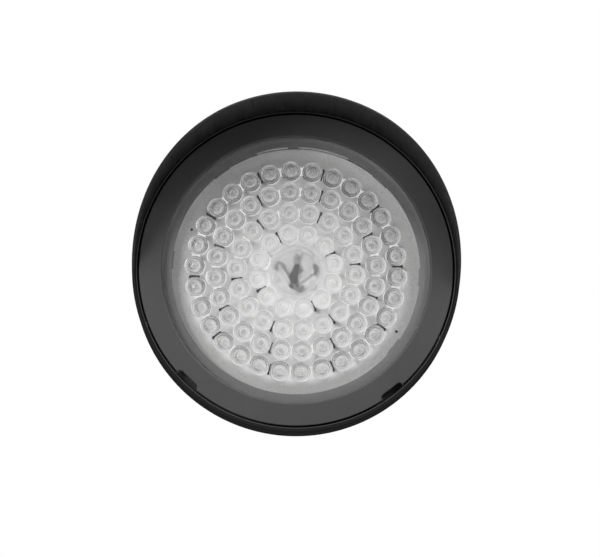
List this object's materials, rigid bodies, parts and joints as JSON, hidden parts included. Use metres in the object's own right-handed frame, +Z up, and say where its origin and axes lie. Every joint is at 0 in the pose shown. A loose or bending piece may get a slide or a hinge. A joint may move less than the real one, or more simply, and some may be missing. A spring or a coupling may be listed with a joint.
{
  "type": "led floodlight",
  "caption": "Round outdoor floodlight head with a half visor, rings of clear lens optics behind flat glass, a finned back and a tilting knuckle on a threaded stem.",
  "frame": {"origin": "on the stem's axis where its free thread starts, just behind the locknut and O-ring", "axes": "+Y back along the stem, +Z up, the light leaves towards -Y at rest"},
  "size_m": [0.254, 0.2709, 0.254],
  "materials": {
    "visor_paint": "spun aluminium under a fine textured powder coat, near black",
    "bezel_paint": "cast aluminium under a fine textured powder coat, dark grey",
    "housing_paint": "die-cast aluminium under a fine textured powder coat",
    "black_steel": "black oxide",
    "bright_steel": "stainless, turned",
    "zinc_steel": "zinc plated",
    "clear_glass": "clear tempered flat glass",
    "grey_silicone": "matt grey silicone",
    "clear_optic": "clear moulded acrylic",
    "phosphor": "emitter under a clear dome",
    "white_board": "white solder mask on an aluminium board",
    "heat_sheet": "soft heat transfer sheet",
    "frosted_cap": "frosted polycarbonate",
    "dark_plastic": "moulded, satin",
    "lead_jacket": "silicone insulated lead",
    "black_rubber": "matt moulded rubber",
    "driver_can": "drawn can, satin",
    "surge_case": "moulded case",
    "ground_green": "green passivated screw"
  },
  "bodies": {
    "base": {"lower_knuckle": "housing_paint", "knuckle_gasket": "black_rubber", "knuckle_bolt": "bright_steel", "knuckle_washer": "bright_steel", "knuckle_nut": "bright_steel", "threaded_stem": "zinc_steel", "stem_set_screw": "black_steel", "lock_nut": "zinc_steel", "stem_o_ring": "black_rubber"},
    "head": {"visor_rim": "visor_paint", "rim_set_screws": "black_steel", "bezel_ring": "bezel_paint", "bezel_screws": "black_steel", "lens_glass": "clear_glass", "lens_gasket": "grey_silicone", "optics_ring_1": "clear_optic", "optics_ring_2": "clear_optic", "optics_ring_3": "clear_optic", "optics_ring_4": "clear_optic", "led_chips": "phosphor", "led_board": "white_board", "thermal_pad": "heat_sheet", "center_cover": "frosted_cap", "lead_terminals": "dark_plastic", "board_leads": "lead_jacket", "board_screws": "bright_steel", "lead_grommet": "black_rubber", "housing": "housing_paint", "led_driver": "driver_can", "driver_screws": "bright_steel", "surge_protector": "surge_case", "surge_screws": "bright_steel", "ground_screw": "ground_green", "cover_gasket": "black_rubber", "rear_cover": "housing_paint", "cover_screws": "bright_steel", "breather_vent": "dark_plastic", "arm_gasket": "black_rubber", "upper_knuckle": "housing_paint", "arm_screws": "bright_steel"}
  },
  "joints": [
    {"name": "head_tilt", "type": "hinge", "parent": "base", "child": "head", "pos_m": [0, -0.0482, 0], "axis": [1, 0, 0], "range_deg": [-90, 90]}
  ]
}
